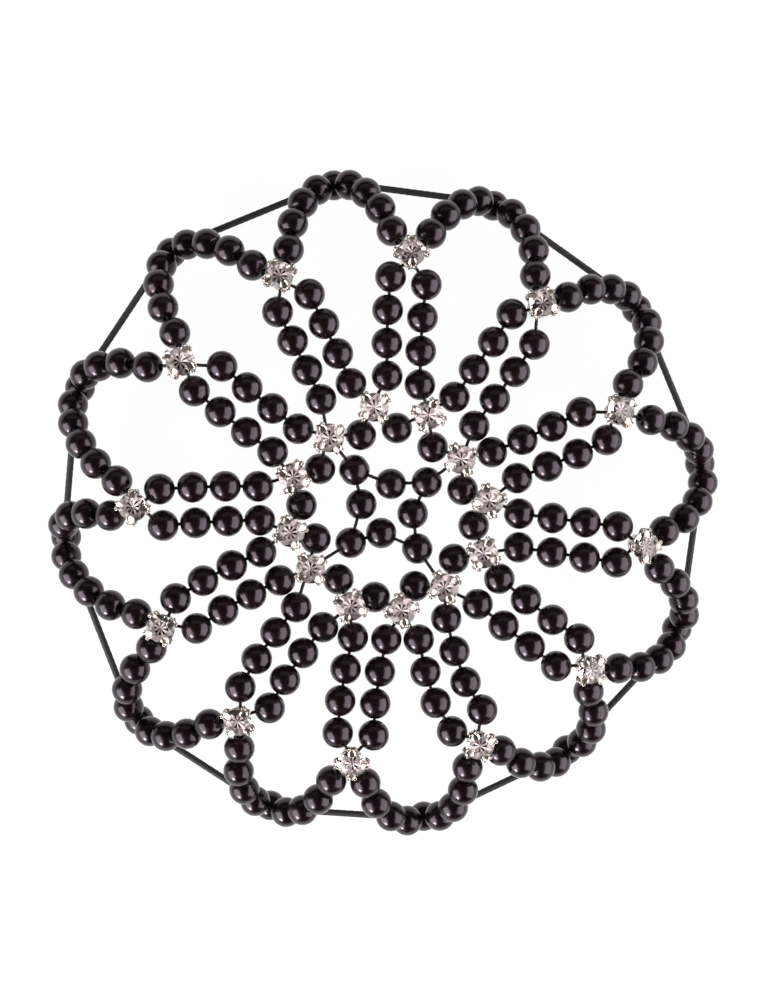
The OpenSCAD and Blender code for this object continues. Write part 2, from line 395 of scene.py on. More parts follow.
# Section of a claw, as parts of its half width and rise from its middle. Both edges are rolled up
CLAW_SECTION = (
    (-1, 0), (-0.98, 0.06), (-0.9, 0.09), (-0.81, 0.07),
    (-0.72, 0.01), (-0.4, -0.02), (0.4, -0.02), (0.72, 0.01),
    (0.81, 0.07), (0.9, 0.09), (0.98, 0.06), (1, 0),
    (0.9, -0.06), (0.5, -0.08), (-0.5, -0.08), (-0.9, -0.06),
)
# Ear of a claw: its middle, the way it leans, and its section as radius and height. The other ear mirrors it
EAR_AT = (2.05, 0.43, 2.18)
EAR_LEAN = (0.16, 0.1, 1)
EAR_SECTION = (
    (0.11, -0.22), (0.11, 0.14), (0.13, 0.19), (0.17, 0.21),
    (0.21, 0.19), (0.23, 0.14), (0.23, -0.2), (0.2, -0.24),
)
EAR_SIDES = 14


def claw():
    """Claw in the XZ plane: a strip with rolled edges that bends in over the stone."""
    stations = []
    for i, (r, z, half) in enumerate(CLAW_LINE):
        before = CLAW_LINE[max(0, i - 1)]
        after = CLAW_LINE[min(len(CLAW_LINE) - 1, i + 1)]
        along = Vector((after[0] - before[0], 0, after[1] - before[1])).normalized()
        outward = Vector((along.z, 0, -along.x))
        stations.append(
            lambda a, b, r=r, z=z, half=half, outward=outward: tuple(Vector((r, a * half, z)) + outward * b)
        )
    return swept(CLAW_SECTION, stations)


def ear(side):
    """Small loop at an outer corner of a claw, open through."""
    middle = Vector((EAR_AT[0], side * EAR_AT[1], EAR_AT[2]))
    lean = Vector((EAR_LEAN[0], side * EAR_LEAN[1], EAR_LEAN[2])).normalized()
    across = lean.orthogonal().normalized()
    other = lean.cross(across)
    verts, faces = turned_profile(EAR_SECTION, EAR_SIDES)
    return [tuple(middle + across * x + other * y + lean * z) for x, y, z in verts], faces


def turned_about_z(part, angle):
    verts, faces = part
    c, s = cosd(angle), sind(angle)
    return [(x * c - y * s, x * s + y * c, z) for x, y, z in verts], faces


def setting_parts():
    """Cup on its base with its claws and their ears."""
    parts = [turned_profile(CUP_SECTION, CUP_SIDES)]
    for i in range(CLAWS):
        for part in (claw(), ear(1), ear(-1)):
            parts.append(turned_about_z(part, 360 / CLAWS * i))
    return joined(parts)


# Painted shade on the facets above the girdle, from 0 to 1, darkening the tint where the stone's reflections
# look dark: the star facets, the mains and both half facets
STAR_PAINTED_SHADES = (0.75, 0.1, 0.0, 0.65, 0.6, 0.0, 0.1, 0.75)
MAIN_PAINTED_SHADES = (0.3, 0.0, 0.3, 0.35, 0.3, 0.0, 0.3, 0.4)
FIRST_HALF_PAINTED_SHADES = (0.3, 0.85, 0.3, 0.0, 0.3, 0.9, 0.3, 0.1)
SECOND_HALF_PAINTED_SHADES = (0.0, 0.3, 0.85, 0.3, 0.2, 0.3, 0.9, 0.3)


def corners_at(r, z, count, first=0.0):
    """Corners evenly round the Z axis, from an azimuth on."""
    return [(r * cosd(360 / count * i + first), r * sind(360 / count * i + first), z) for i in range(count)]


def cut_stone(radius):
    """Round stone, and a shade for each of its faces.

    It has a table and 8 star, 8 main and 16 half facets above its girdle, and 8 mains and 16 halves below.
    """
    mains = FACET_CORNERS // 2
    girdle_top = GIRDLE_Z + GIRDLE_HEIGHT
    main_slope = (TABLE_Z - girdle_top) / (radius - TABLE_R)
    star_z = TABLE_Z - (STAR_R * cosd(FACET_ANGLE) - TABLE_R) * main_slope
    low_z = CULET_Z + LOW_R * cosd(FACET_ANGLE) * (GIRDLE_Z - CULET_Z) / radius
    verts = corners_at(TABLE_R, TABLE_Z, mains) + corners_at(STAR_R, star_z, mains, FACET_ANGLE)
    verts += corners_at(radius, girdle_top, FACET_CORNERS) + corners_at(radius, GIRDLE_Z, FACET_CORNERS)
    verts += corners_at(LOW_R, low_z, mains, FACET_ANGLE)
    verts.append((0, 0, CULET_Z))
    star = mains
    top = star + mains
    bottom = top + FACET_CORNERS
    low = bottom + FACET_CORNERS
    culet = low + mains
    faces = [tuple(range(mains))]
    painted_shades = [0.0]
    for i in range(mains):
        n = (i + 1) % mains
        p = (i - 1) % mains
        faces.append((i, n, star + i))
        faces.append((i, star + i, top + 2 * i, star + p))
        faces.append((star + i, top + 2 * i, top + 2 * i + 1))
        faces.append((star + i, top + 2 * i + 1, top + 2 * n))
        faces.append((culet, low + p, bottom + 2 * i, low + i))
        faces.append((low + i, bottom + 2 * i, bottom + 2 * i + 1))
        faces.append((low + i, bottom + 2 * i + 1, bottom + 2 * n))
        # Painted shade on the crown facets, standing in for dark reflections in the stone
        painted_shades += [STAR_PAINTED_SHADES[i], MAIN_PAINTED_SHADES[i], FIRST_HALF_PAINTED_SHADES[i], SECOND_HALF_PAINTED_SHADES[i]]
        painted_shades += [0.0, 0.0, 0.0]
    for i in range(FACET_CORNERS):
        n = (i + 1) % FACET_CORNERS
        faces.append((top + i, top + n, bottom + n, bottom + i))
        painted_shades.append(0.0)
    return verts, faces, painted_shades


# Foil behind a stone: how far it lies under the stone and inside its girdle, and its thickness
FOIL_CLEAR = 0.02
FOIL_THICK = 0.03
# Rings of facet corners in the foil, as radius and how far every other corner sinks
FOIL_RINGS = ((0.88, 0.09), (1.34, 0.17))
# Painted shade on the foil's facets, from 0 to 1, standing in for dark reflections: the rays round the
# middle, and then, ring by ring, the facets that point outwards and those that point inwards
FOIL_PAINTED_RAYS = (1.0, 0.0)
FOIL_PAINTED_SHADES = (
    ((0.0, 0.6, 0.0, 0.3), (0.35, 0.0, 0.1, 0.0)),
    ((0.0, 0.9, 0.0, 0.5, 0.1), (0.35, 0.0, 0.15, 0.0, 0.0)),
)


def foil_cup(stone_radius):
    """Thin faceted foil behind the stone, and a shade for each of its faces."""
    radius = stone_radius - FOIL_CLEAR
    slope = (GIRDLE_Z - CULET_Z) / radius
    verts = []
    faces = []
    painted_shades = []
    for drop in (FOIL_CLEAR, FOIL_CLEAR + FOIL_THICK):
        start = len(verts)
        verts.append((0, 0, CULET_Z - drop))
        for r, sunk in (*FOIL_RINGS, (radius, 0)):
            corners = corners_at(r, CULET_Z + r * slope - drop, FACET_CORNERS)
            verts += [(x, y, z - sunk * (i % 2)) for i, (x, y, z) in enumerate(corners)]
        # Painted shade on the foil: dark rays round the middle, then a mosaic of darker facets ring by ring
        for i in range(FACET_CORNERS):
            n = (i + 1) % FACET_CORNERS
            faces.append((start, start + 1 + i, start + 1 + n))
            painted_shades.append(FOIL_PAINTED_RAYS[i % 2])
            for ring, (outward, inward) in enumerate(FOIL_PAINTED_SHADES):
                near = start + 1 + FACET_CORNERS * ring
                far = near + FACET_CORNERS
                faces.append((near + i, far + i, near + n))
                painted_shades.append(outward[i % len(outward)])
                faces.append((near + n, far + i, far + n))
                painted_shades.append(inward[i % len(inward)])
    below = len(verts) - FACET_CORNERS
    above = below - len(verts) // 2
    for i in range(FACET_CORNERS):
        n = (i + 1) % FACET_CORNERS
        faces.append((above + i, above + n, below + n, below + i))
        painted_shades.append(0.0)
    return verts, faces, painted_shades


def points_mesh(name, chains):
    """Mesh of threads: chains of points in millimetres, each with what it carries and where that is aimed."""
    verts = []
    edges = []
    carried = []
    aimed = []
    for points, chain_kinds, chain_aims, closed in chains:
        start = len(verts)
        verts += [p * MM for p in points]
        carried += chain_kinds
        aimed += chain_aims
        edges += [(start + i, start + i + 1) for i in range(len(points) - 1)]
        if closed:
            edges.append((start + len(points) - 1, start))
    mesh = bpy.data.meshes.new(name)
    mesh.from_pydata(verts, edges, [])
    mesh.attributes.new("carries", "INT", "POINT").data.foreach_set("value", carried)
    aims = [c for aim in aimed for c in aim]
    mesh.attributes.new("aim", "FLOAT_VECTOR", "POINT").data.foreach_set("vector", aims)
    return mesh


def strung(points, kinds):
    """Chain whose beads are aimed along their thread."""
    last = len(points) - 1
    aims = [(points[min(last, i + 1)] - points[max(0, i - 1)]).normalized() for i in range(len(points))]
    return [points, kinds, aims, False]


def threaded(beads, start, end):
    """Chain of beads whose thread runs on, bare, to a point at each end."""
    return strung([start, *beads, end], [BARE] + [BEAD] * len(beads) + [BARE])


# Geometry Nodes

# Faces round a thread and how many plies it is twisted from, and faces round the elastic
THREAD_SIDES = 9
PLIES = 3
ELASTIC_SIDES = 18
# How far the elastic's strands rise and sink
STRAND_RELIEF = 0.035 * MM


def add_node(tree, kind, links=None, **settings):
    """Node with its settings, and with links or values on its inputs by name or number."""
    made = tree.nodes.new(kind)
    for key, value in settings.items():
        setattr(made, key, value)
    for name, value in (links or {}).items():
        socket = made.inputs[name] if isinstance(name, int) else open_socket(made, name)
        if isinstance(value, bpy.types.NodeSocket):
            tree.links.new(value, socket)
        else:
            socket.default_value = value
    return made


def open_socket(made, name):
    """Input of that name that the node's present mode uses."""
    return next(s for s in made.inputs if s.name == name and s.enabled)


def out(made, name=None):
    """Output of that name, or the first, that the node's present mode uses."""
    return next(s for s in made.outputs if s.enabled and name in (None, s.name))


def new_rule(name, inputs):
    """Geometry Nodes tree with a geometry in and out and the named inputs."""
    tree = bpy.data.node_groups.new(name, "GeometryNodeTree")
    tree.is_modifier = True
    tree.interface.new_socket(name="Geometry", in_out="INPUT", socket_type="NodeSocketGeometry")
    tree.interface.new_socket(name="Geometry", in_out="OUTPUT", socket_type="NodeSocketGeometry")
    for label, kind, value in inputs:
        socket = tree.interface.new_socket(name=label, in_out="INPUT", socket_type="NodeSocket" + kind)
        if value is not None:
            socket.default_value = value
    given = tree.nodes.new("NodeGroupInput")
    return tree, given


def named(tree, name, kind):
    return out(add_node(tree, "GeometryNodeInputNamedAttribute", {"Name": name}, data_type=kind), "Attribute")


def maths(tree, operation, *values):
    return out(add_node(tree, "ShaderNodeMath", dict(enumerate(values)), operation=operation))


def scaled(tree, vector, share):
    return out(add_node(tree, "ShaderNodeVectorMath", {0: vector, "Scale": share}, operation="SCALE"))


def random_to(tree, given, highest):
    """Random number from 0 to the highest, by the tree's seed."""
    links = {"Min": 0.0, "Max": highest, "Seed": out(given, "Seed")}
    return out(add_node(tree, "FunctionNodeRandomValue", links, data_type="FLOAT"))


def stored(tree, geometry, name, value, domain):
    links = {"Geometry": geometry, "Name": name, "Value": value}
    return out(add_node(tree, "GeometryNodeStoreNamedAttribute", links, data_type="FLOAT", domain=domain))


def realized(tree, geometry):
    return out(add_node(tree, "GeometryNodeRealizeInstances", {"Geometry": geometry}))


def painted(tree, geometry, material):
    return out(add_node(tree, "GeometryNodeSetMaterial", {"Geometry": geometry, "Material": material}))


def strung_beads_rule():
    """Beads on their marked points of a thread, and the twisted thread through them."""
    tree, given = new_rule("Strung Beads", (
        ("Bead", "Object", None),
        ("Tip Bead", "Object", None),
        ("Thread Radius", "Float", 0.25 * MM),
        ("Ply Depth", "Float", 0.12),
        ("Twist Length", "Float", 1.3 * MM),
        ("Thread Step", "Float", 0.3 * MM),
        ("Seed", "Int", 7),
        ("Bead Material", "Material", None),
        ("Thread Material", "Material", None),
    ))
    curve = add_node(tree, "GeometryNodeMeshToCurve", {"Mesh": out(given, "Geometry")})
    aim = named(tree, "aim", "FLOAT_VECTOR")
    aimed = add_node(tree, "FunctionNodeAlignRotationToVector", {"Vector": aim}, axis="Z")
    spin = random_to(tree, given, math.tau)
    turn = add_node(tree, "FunctionNodeAxisAngleToRotation", {"Axis": (0, 0, 1), "Angle": spin})
    facing = add_node(tree, "FunctionNodeRotateRotation", {
        "Rotation": out(aimed), "Rotate By": out(turn),
    }, rotation_space="LOCAL")
    carries = named(tree, "carries", "INT")
    join = tree.nodes.new("GeometryNodeJoinGeometry")
    for kind, form in ((BEAD, "Bead"), (TIP_BEAD, "Tip Bead")):
        chosen = add_node(tree, "FunctionNodeCompare", {
            "A": carries, "B": kind,
        }, data_type="INT", operation="EQUAL")
        info = add_node(tree, "GeometryNodeObjectInfo", {"Object": out(given, form)})
        beads = add_node(tree, "GeometryNodeInstanceOnPoints", {
            "Points": out(given, "Geometry"),
            "Selection": out(chosen),
            "Instance": out(info, "Geometry"),
            "Rotation": out(facing),
        })
        tree.links.new(out(beads), join.inputs[0])
    toned = stored(tree, out(join), "tone", random_to(tree, given, 1.0), "INSTANCE")
    beads_done = painted(tree, realized(tree, toned), out(given, "Bead Material"))

    fine = add_node(tree, "GeometryNodeResampleCurve", {
        "Curve": out(curve), "Length": out(given, "Thread Step"),
    }, mode="LENGTH")
    length = out(add_node(tree, "GeometryNodeSplineParameter"), "Length")
    twists = maths(tree, "DIVIDE", length, out(given, "Twist Length"))
    tilt = maths(tree, "MULTIPLY", twists, math.tau)
    twisted = add_node(tree, "GeometryNodeSetCurveTilt", {"Curve": out(fine), "Tilt": tilt})
    section = add_node(tree, "GeometryNodeCurvePrimitiveCircle", {
        "Resolution": THREAD_SIDES, "Radius": out(given, "Thread Radius"),
    }, mode="RADIUS")
    around = out(add_node(tree, "GeometryNodeSplineParameter"), "Factor")
    ply = maths(tree, "COSINE", maths(tree, "MULTIPLY", around, PLIES * math.tau))
    sunk = maths(tree, "MULTIPLY", maths(tree, "SUBTRACT", 1.0, ply), out(given, "Ply Depth"))
    at = out(add_node(tree, "GeometryNodeInputPosition"))
    lobed = add_node(tree, "GeometryNodeSetPosition", {
        "Geometry": out(section), "Position": scaled(tree, at, maths(tree, "SUBTRACT", 1.0, sunk)),
    })
    tube = add_node(tree, "GeometryNodeCurveToMesh", {
        "Curve": out(twisted), "Profile Curve": out(lobed), "Fill Caps": True,
    })
    everything = tree.nodes.new("GeometryNodeJoinGeometry")
    tree.links.new(painted(tree, out(tube), out(given, "Thread Material")), everything.inputs[0])
    tree.links.new(beads_done, everything.inputs[0])
    add_node(tree, "NodeGroupOutput", {0: out(everything)})
    return tree


def seated_rule():
    """One form on each point, turned as the point's Euler angles say."""
    tree, given = new_rule("Seated Forms", (
        ("Form", "Object", None),
        ("Material", "Material", None),
        ("Seed", "Int", 3),
    ))
    info = add_node(tree, "GeometryNodeObjectInfo", {"Object": out(given, "Form")})
    facing = add_node(tree, "FunctionNodeEulerToRotation", {"Euler": named(tree, "facing", "FLOAT_VECTOR")})
    forms = add_node(tree, "GeometryNodeInstanceOnPoints", {
        "Points": out(given, "Geometry"),
        "Instance": out(info, "Geometry"),
        "Rotation": out(facing),
    })
    toned = stored(tree, out(forms), "tone", random_to(tree, given, 1.0), "INSTANCE")
    add_node(tree, "NodeGroupOutput", {0: painted(tree, realized(tree, toned), out(given, "Material"))})
    return tree


def braid_rule():
    """Round braid along a closed path: crossing strands raise and sink the surface of a tube."""
    tree, given = new_rule("Braided Elastic", (
        ("Radius", "Float", 0.41 * MM),
        ("Strand Relief", "Float", STRAND_RELIEF),
        ("Strands", "Int", 6),
        ("Pitch", "Float", 3.2 * MM),
        ("Rings", "Int", 1300),
        ("Material", "Material", None),
    ))
    curve = add_node(tree, "GeometryNodeMeshToCurve", {"Mesh": out(given, "Geometry")})
    fine = add_node(tree, "GeometryNodeResampleCurve", {
        "Curve": out(curve), "Count": out(given, "Rings"),
    }, mode="COUNT")
    length = out(add_node(tree, "GeometryNodeSplineParameter"), "Length")
    pitches = maths(tree, "DIVIDE", length, out(given, "Pitch"))
    along = stored(tree, out(fine), "along", pitches, "POINT")
    section = add_node(tree, "GeometryNodeCurvePrimitiveCircle", {
        "Resolution": ELASTIC_SIDES, "Radius": out(given, "Radius"),
    }, mode="RADIUS")
    factor = out(add_node(tree, "GeometryNodeSplineParameter"), "Factor")
    around = stored(tree, out(section), "around", factor, "POINT")
    tube = add_node(tree, "GeometryNodeCurveToMesh", {"Curve": along, "Profile Curve": around})
    u = maths(tree, "MULTIPLY", named(tree, "along", "FLOAT"), math.tau)
    v = maths(tree, "MULTIPLY", named(tree, "around", "FLOAT"), math.tau)
    v_strands = maths(tree, "MULTIPLY", v, out(given, "Strands"))
    u_strands = maths(tree, "MULTIPLY", u, out(given, "Strands"))
    one_way = maths(tree, "SINE", maths(tree, "ADD", v_strands, u_strands))
    other_way = maths(tree, "SINE", maths(tree, "SUBTRACT", v_strands, u_strands))
    relief = maths(tree, "MULTIPLY", maths(tree, "MAXIMUM", one_way, other_way), out(given, "Strand Relief"))
    normal = out(add_node(tree, "GeometryNodeInputNormal"))
    raised = add_node(tree, "GeometryNodeSetPosition", {
        "Geometry": out(tube), "Offset": scaled(tree, normal, relief),
    })
    add_node(tree, "NodeGroupOutput", {0: painted(tree, realized(tree, out(raised)), out(given, "Material"))})
    return tree


def shared_rule(make, name):
    return bpy.data.node_groups.get(name) or make()


def grown(name, start, tree, inputs, smooth=True):
    """Piece that a tree grows from its start mesh, as a plain mesh with no modifier."""
    piece = bpy.data.objects.new(name, start)
    bpy.context.scene.collection.objects.link(piece)
    modifier = piece.modifiers.new(tree.name, "NODES")
    modifier.node_group = tree
    asked = [s for s in tree.interface.items_tree if getattr(s, "in_out", "") == "INPUT"]
    identifiers = {s.name: s.identifier for s in asked}
    for label, value in inputs.items():
        modifier[identifiers[label]] = value
    depsgraph = bpy.context.evaluated_depsgraph_get()
    mesh = bpy.data.meshes.new_from_object(
        piece.evaluated_get(depsgraph), preserve_all_data_layers=True, depsgraph=depsgraph
    )
    piece.modifiers.remove(modifier)
    piece.data = mesh
    mesh.name = name
    mesh.polygons.foreach_set("use_smooth", [smooth] * len(mesh.polygons))
    return piece


# Materials


def shader_group(name, inputs, outputs):
    tree = bpy.data.node_groups.new(name, "ShaderNodeTree")
    for label, kind, value in inputs:
        socket = tree.interface.new_socket(name=label, in_out="INPUT", socket_type="NodeSocket" + kind)
        if value is not None:
            socket.default_value = value
    for label, kind in outputs:
        tree.interface.new_socket(name=label, in_out="OUTPUT", socket_type="NodeSocket" + kind)
    return tree, tree.nodes.new("NodeGroupInput"), tree.nodes.new("NodeGroupOutput")


def mottling_group():
    """Two scales of soft spots: a mask for colour and roughness, and a height for the bump."""
    tree, given, done = shader_group(
        "Soft Mottling",
        (("Vector", "Vector", None), ("Broad Scale", "Float", 700.0), ("Fine Scale", "Float", 5000.0),
         ("Fine Share", "Float", 0.4)),
        (("Mask", "Float"), ("Height", "Float")),
    )
    broad = add_node(tree, "ShaderNodeTexNoise", {
        "Vector": out(given, "Vector"), "Scale": out(given, "Broad Scale"), "Detail": 2.0, "Roughness": 0.55,
    })
    fine = add_node(tree, "ShaderNodeTexNoise", {
        "Vector": out(given, "Vector"), "Scale": out(given, "Fine Scale"), "Detail": 2.0, "Roughness": 0.6,
    })
    blend = add_node(tree, "ShaderNodeMix", {
        "Factor": out(given, "Fine Share"), "A": out(broad), "B": out(fine),
    }, data_type="FLOAT")
    mask = add_node(tree, "ShaderNodeMapRange", {
        "Value": out(blend), "From Min": 0.35, "From Max": 0.65, "To Min": 0.0, "To Max": 1.0,
    })
    tree.links.new(out(mask), done.inputs["Mask"])
    tree.links.new(out(blend), done.inputs["Height"])
    return tree


def principled(name):
    material = bpy.data.materials.new(name)
    material.use_nodes = True
    return material, material.node_tree, material.node_tree.nodes["Principled BSDF"]


def mottling(tree, **values):
    group = tree.nodes.new("ShaderNodeGroup")
    group.node_tree = bpy.data.node_groups.get("Soft Mottling") or mottling_group()
    coordinates = tree.nodes.new("ShaderNodeTexCoord")
    tree.links.new(coordinates.outputs["Object"], group.inputs["Vector"])
    for label, value in values.items():
        group.inputs[label.replace("_", " ").title()].default_value = value
    return group


def times(colour, share):
    return tuple(c * share for c in colour)


def coloured(tree, shader, mask, a, b):
    """Colours a shader from a to b by a mask."""
    blend = add_node(tree, "ShaderNodeMix", {0: mask, "A": (*a, 1), "B": (*b, 1)}, data_type="RGBA")
    tree.links.new(out(blend), shader.inputs["Base Color"])


def roughened(tree, shader, mask, low, high):
    made = add_node(tree, "ShaderNodeMapRange", {"Value": mask, "To Min": low, "To Max": high})
    tree.links.new(out(made), shader.inputs["Roughness"])


def bump(tree, shader, value, distance):
    made = add_node(tree, "ShaderNodeBump", {"Height": value, "Distance": distance, "Strength": 1.0})
    tree.links.new(out(made), shader.inputs["Normal"])


def carried_by(tree, name):
    """Value that the mesh carries, by its attribute's name."""
    return out(add_node(tree, "ShaderNodeAttribute", attribute_name=name, attribute_type="GEOMETRY"), "Fac")


def made_once(make):
    """A material by its maker's name, made the first time that it is asked for."""
    name = make.__doc__.split(".")[0]
    return bpy.data.materials.get(name) or make(name)


def bead_finish(name):
    """Black Pearl Coat. Plum-black bead under a clear coat, a little different from bead to bead."""
    finishes = bpy.context.scene.bun_net_finishes
    material, tree, shader = principled(name)
    spots = mottling(tree, broad_scale=900.0, fine_scale=7000.0, fine_share=0.35)
    share = maths(tree, "MULTIPLY", maths(tree, "ADD", out(spots, "Mask"), carried_by(tree, "tone")), 0.5)
    dark = tuple(finishes.bead_colour)
    coloured(tree, shader, share, dark, times(dark, 2))
    roughened(tree, shader, out(spots, "Mask"), 0.17, 0.28)
    shader.inputs["Specular IOR Level"].default_value = 0.46
    shader.inputs["Specular Tint"].default_value = (0.82, 0.66, 0.79, 1)
    shader.inputs["Coat Weight"].default_value = 0.12
    shader.inputs["Coat Roughness"].default_value = 0.08
    bump(tree, shader, out(spots, "Height"), 0.012 * MM)
    return material


def thread_finish(name):
    """Black Twisted Thread. Dull black fibre with a fuzz of fine bumps."""
    material, tree, shader = principled(name)
    spots = mottling(tree, broad_scale=3000.0, fine_scale=14000.0, fine_share=0.6)
    coloured(tree, shader, out(spots, "Mask"), (0.006, 0.005, 0.006), (0.02, 0.017, 0.02))
    roughened(tree, shader, out(spots, "Mask"), 0.55, 0.8)
    bump(tree, shader, out(spots, "Height"), 0.03 * MM)
    return material


def metal_finish(name):
    """Bright Plated Metal. Silver-white plating, thinner and warmer in spots, with fine wear."""
    finishes = bpy.context.scene.bun_net_finishes
    material, tree, shader = principled(name)
    spots = mottling(tree, broad_scale=1500.0, fine_scale=9000.0, fine_share=0.45)
    bright = tuple(finishes.metal_colour)
    warm = (bright[0] * 0.92, bright[1] * 0.84, bright[2] * 0.76)
    coloured(tree, shader, out(spots, "Mask"), bright, warm)
    roughened(tree, shader, out(spots, "Mask"), 0.18, 0.32)
    shader.inputs["Metallic"].default_value = 1.0
    bump(tree, shader, out(spots, "Height"), 0.02 * MM)
    return material


def stone_finish(name):
    """Cut Clear Stone. Faintly rosy glass with polished facets, some of them darker."""
    finishes = bpy.context.scene.bun_net_finishes
    material, tree, shader = principled(name)
    spots = mottling(tree, broad_scale=2500.0, fine_scale=9000.0, fine_share=0.3)
    tint = tuple(finishes.stone_colour)
    # Painted shade: each face's shade darkens the tint, standing in for dark reflections in the facets
    coloured(tree, shader, carried_by(tree, "shade"), tint, times(tint, 0.12))
    roughened(tree, shader, out(spots, "Mask"), 0.0, 0.03)
    shader.inputs["Transmission Weight"].default_value = 1.0
    shader.inputs["IOR"].default_value = 1.56
    return material


def foil_finish(name):
    """Silver Foil Backing. Satin foil with dark rays where its facets throw no light back."""
    material, tree, shader = principled(name)
    spots = mottling(tree, broad_scale=2000.0, fine_scale=8000.0, fine_share=0.4)
    # Painted shade: each face's shade darkens the foil into dark rays and a mosaic
    coloured(tree, shader, carried_by(tree, "shade"), (0.98, 0.94, 0.94), (0.03, 0.02, 0.025))
    roughened(tree, shader, out(spots, "Mask"), 0.5, 0.62)
    shader.inputs["Metallic"].default_value = 1.0
    bump(tree, shader, out(spots, "Height"), 0.02 * MM)
    return material


def elastic_finish(name):
    """Braided Black Elastic. Dull black yarn, paler in spots."""
    material, tree, shader = principled(name)
    spots = mottling(tree, broad_scale=2500.0, fine_scale=12000.0, fine_share=0.6)
    coloured(tree, shader, out(spots, "Mask"), (0.007, 0.006, 0.007), (0.026, 0.022, 0.026))
    roughened(tree, shader, out(spots, "Mask"), 0.6, 0.85)
    bump(tree, shader, out(spots, "Height"), 0.03 * MM)
    return material


# How strongly the light behind the floor's sheet shines through it
FLOOR_GLOW = 0.87


def floor_finish(name):
    """Backlit White Sheet. Matt white sheet with light behind it."""
    finishes = bpy.context.scene.bun_net_finishes
    material, tree, shader = principled(name)
    spots = mottling(tree, broad_scale=60.0, fine_scale=900.0, fine_share=0.5)
    pale = tuple(finishes.floor_colour)
    coloured(tree, shader, out(spots, "Mask"), pale, times(pale, 0.97))
    shader.inputs["Roughness"].default_value = 0.9
    shader.inputs["Specular IOR Level"].default_value = 0.1
    shader.inputs["Emission Color"].default_value = (1, 1, 1, 1)
    shader.inputs["Emission Strength"].default_value = FLOOR_GLOW
    return material


# Settings that a user may change


class BunNetSizes(bpy.types.PropertyGroup):
    bead_diameter: FloatProperty(
        name="Bead Diameter", description="Diameter of a round bead",
        default=4.0 * MM, min=3.6 * MM, max=4.0 * MM, subtype="DISTANCE", unit="LENGTH", precision=4,
    )
    bead_bore: FloatProperty(
        name="Bead Bore", description="Diameter of the hole that the thread runs through",
        default=0.9 * MM, min=0.7 * MM, max=1.2 * MM, subtype="DISTANCE", unit="LENGTH", precision=4,
    )
    tip_bore: FloatProperty(
        name="Tip Bead Bore", description="Diameter of the hole that the elastic runs through",
        default=1.4 * MM, min=1.2 * MM, max=1.6 * MM, subtype="DISTANCE", unit="LENGTH", precision=4,
    )
    bead_segments: IntProperty(
        name="Bead Segments", description="Faces round a bead", default=28, min=16, max=48,
    )
    thread_diameter: FloatProperty(
        name="Thread Diameter", description="Diameter of the twisted thread",
        default=0.5 * MM, min=0.3 * MM, max=0.6 * MM, subtype="DISTANCE", unit="LENGTH", precision=4,
    )
    stone_diameter: FloatProperty(
        name="Stone Diameter", description="Diameter of a stone at its girdle",
        default=3.7 * MM, min=3.5 * MM, max=3.7 * MM, subtype="DISTANCE", unit="LENGTH", precision=4,
    )
    elastic_diameter: FloatProperty(
        name="Elastic Diameter", description="Diameter of the braided elastic",
        default=0.9 * MM, min=0.7 * MM, max=1.0 * MM, subtype="DISTANCE", unit="LENGTH", precision=4,
    )


class BunNetFinishes(bpy.types.PropertyGroup):
    bead_colour: FloatVectorProperty(
        name="Bead Colour", description="Darkest colour of the beads",
        default=(0.0028, 0.001, 0.0012), min=0, max=1, subtype="COLOR",
    )
    metal_colour: FloatVectorProperty(
        name="Metal Colour", description="Colour of the settings' plating",
        default=(0.57, 0.53, 0.5), min=0, max=1, subtype="COLOR",
    )
    stone_colour: FloatVectorProperty(
        name="Stone Colour", description="Tint of the stones",
        default=(1.0, 0.94, 0.93), min=0, max=1, subtype="COLOR",
    )
    floor_colour: FloatVectorProperty(
        name="Floor Colour", description="Colour of the floor",
        default=(0.14, 0.14, 0.14), min=0, max=1, subtype="COLOR",
    )
    floor_gap: FloatProperty(
        name="Floor Gap", description="How far the net is held above the floor",
        default=6.0 * MM, min=0.0, subtype="DISTANCE", unit="LENGTH",
    )


# Operators


def bead_forms():
    """The drilled bead and the wider-bored tip bead, as patterns for the trees."""
    sizes = bpy.context.scene.bun_net_sizes
    forms = []
    for name, bore in (("bead_pattern", sizes.bead_bore), ("tip_bead_pattern", sizes.tip_bore)):
        profile = bead_profile(sizes.bead_diameter / 2 / MM, bore / 2 / MM)
        forms.append(piece_from(name, *turned_profile(profile, sizes.bead_segments)))
    return forms


def clear_patterns(*patterns):
    for pattern in patterns:
        mesh = pattern.data
        bpy.data.objects.remove(pattern)
        bpy.data.meshes.remove(mesh)


def string_piece(name, chains, node):
    """Piece of strung beads that stands for a CAD node."""
    sizes = bpy.context.scene.bun_net_sizes
    bead, tip_bead = bead_forms()
    piece = grown(name, points_mesh(name, chains), shared_rule(strung_beads_rule, "Strung Beads"), {
        "Bead": bead,
        "Tip Bead": tip_bead,
        "Thread Radius": sizes.thread_diameter / 2,
        "Seed": sum(ord(c) for c in name),
        "Bead Material": made_once(bead_finish),
        "Thread Material": made_once(thread_finish),
    })
    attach(piece, "root")
    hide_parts(node)
    clear_patterns(bead, tip_bead)


# How near a thread comes to the middle of a setting, and to that of a tip bead
THREAD_STOP = BASE_R - 0.1
TIP_STOP = 1.5


class BUNNET_OT_petals(bpy.types.Operator):
    """Strings the twelve petals, each from one outer setting to the next through its tip bead"""

    bl_idname = "bun_net.petals"
    bl_label = "Petals"

    def execute(self, context):
        for k in range(1, PETALS + 1):
            first, second, tip = arm(k, -1), arm(k, 1), tip_at(k)
            chains = []
            for beads, setting in ((first, outer_at(k)), (second, outer_at(k % PETALS + 1))):
                start = short_of(beads[0], setting, THREAD_STOP)
                chains.append(threaded(beads, start, short_of(beads[-1], tip, TIP_STOP)))
            az = tip_az(k)
            chains.append([[tip], [TIP_BEAD], [Vector((-sind(az), cosd(az), 0))], False])
            string_piece(f"petal_{k:02d}_strung", chains, f"petal_{k:02d}")
        return {"FINISHED"}


